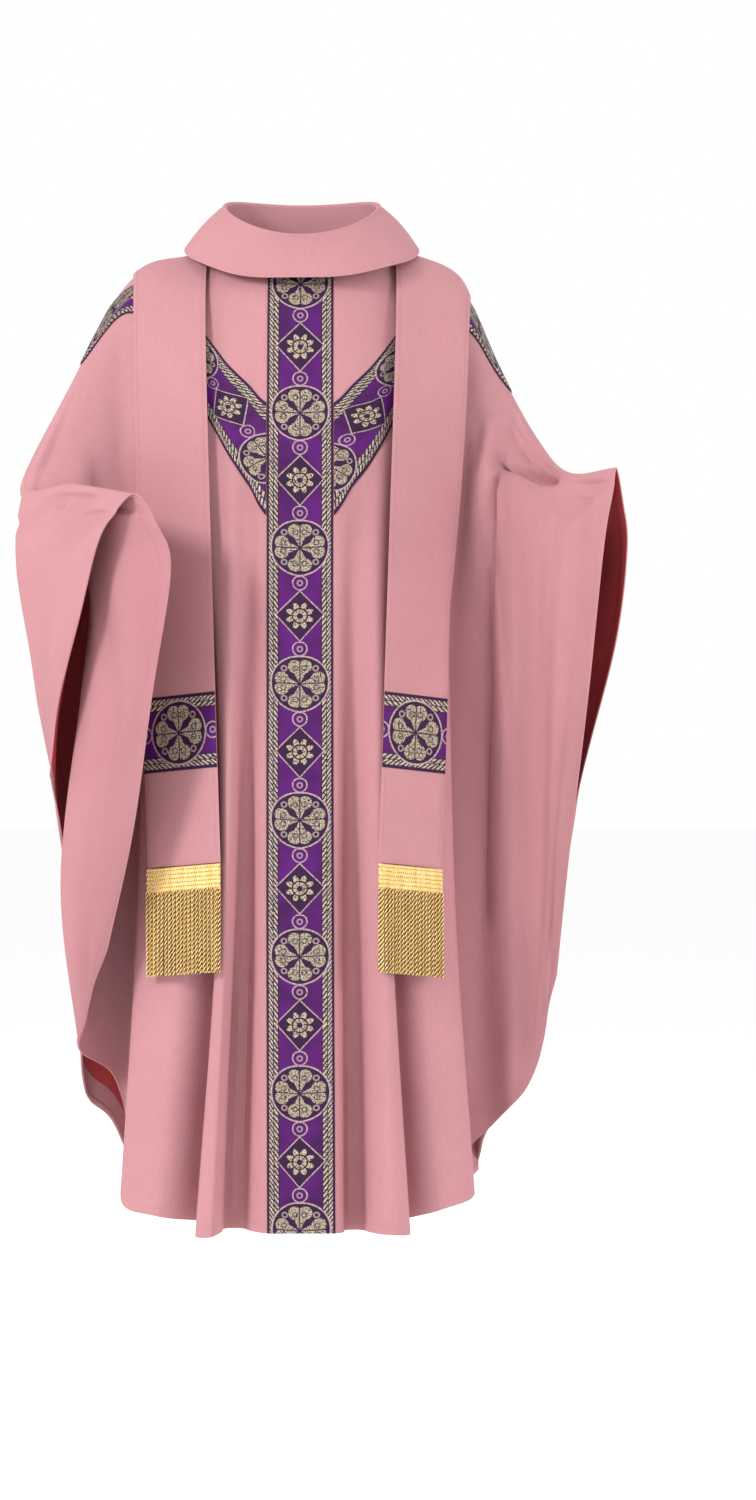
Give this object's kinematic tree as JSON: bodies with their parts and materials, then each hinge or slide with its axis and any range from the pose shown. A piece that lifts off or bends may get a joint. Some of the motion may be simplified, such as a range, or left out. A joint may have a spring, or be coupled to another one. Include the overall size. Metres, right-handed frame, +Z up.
{
  "type": "chasuble",
  "caption": "Full rose chasuble with rolled collar, brocade centre orphrey and Y arms, and a matching overlay stole with fringed ends.",
  "frame": {"origin": "middle of the neck opening at the height of the shoulders, where the garment rests on its wearer", "axes": "+Z up; the front faces -Y; +X is the wearer's left"},
  "size_m": [0.7843, 0.4562, 1.3129],
  "materials": {
    "rose_cloth": "matt fine-woven rose cloth",
    "lining": "smooth rose lining",
    "brocade": "purple and gold woven brocade",
    "gold_fringe": "lustrous twisted gold yarn",
    "interfacing": "stiff plain interlining"
  },
  "bodies": {
    "root": {"front_panel_left": "rose_cloth", "front_panel_right": "rose_cloth", "back_panel_left": "rose_cloth", "back_panel_right": "rose_cloth", "front_orphrey": "brocade", "back_orphrey": "brocade", "front_arm_left": "brocade", "front_arm_right": "brocade", "back_arm_left": "brocade", "back_arm_right": "brocade", "stole_neck_left": "rose_cloth", "stole_neck_right": "rose_cloth", "collar_stand": "rose_cloth", "collar_fall": "rose_cloth", "collar_interfacing": "interfacing"},
    "sleeve_left": {"front_sleeve_left": "rose_cloth", "back_sleeve_left": "rose_cloth", "shoulder_arm_left": "brocade"},
    "sleeve_right": {"front_sleeve_right": "rose_cloth", "back_sleeve_right": "rose_cloth", "shoulder_arm_right": "brocade"},
    "stole_left": {"stole_front_left": "rose_cloth", "stole_lining_left": "lining", "stole_band_left": "brocade"},
    "stole_right": {"stole_front_right": "rose_cloth", "stole_lining_right": "lining", "stole_band_right": "brocade"},
    "fringe_left": {"fringe_heading_left": "gold_fringe", "fringe_skirt_left": "gold_fringe"},
    "fringe_right": {"fringe_heading_right": "gold_fringe", "fringe_skirt_right": "gold_fringe"}
  },
  "joints": [
    {"name": "sleeve_left_lift", "type": "hinge", "parent": "root", "child": "sleeve_left", "pos_m": [0.21, 0, -0.03], "axis": [0, -1, 0], "range_deg": [0, 20]},
    {"name": "sleeve_right_lift", "type": "hinge", "parent": "root", "child": "sleeve_right", "pos_m": [-0.225, 0, -0.02], "axis": [0, 1, 0], "range_deg": [0, 20]},
    {"name": "stole_left_swing", "type": "hinge", "parent": "root", "child": "stole_left", "pos_m": [0.167, -0.087, -0.1004], "axis": [-0.8506, -0.5258, 0], "range_deg": [0, 25]},
    {"name": "stole_right_swing", "type": "hinge", "parent": "root", "child": "stole_right", "pos_m": [-0.1671, -0.0887, -0.1004], "axis": [-0.9048, 0.4259, 0], "range_deg": [0, 3]},
    {"name": "fringe_left_swing", "type": "hinge", "parent": "stole_left", "child": "fringe_left", "pos_m": [0.13865, -0.17325, -0.7652], "axis": [-0.8615, -0.5077, 0], "range_deg": [0, 35]},
    {"name": "fringe_right_swing", "type": "hinge", "parent": "stole_right", "child": "fringe_right", "pos_m": [-0.14575, -0.1609, -0.7652], "axis": [-0.8711, 0.4911, 0], "range_deg": [0, 20]}
  ]
}
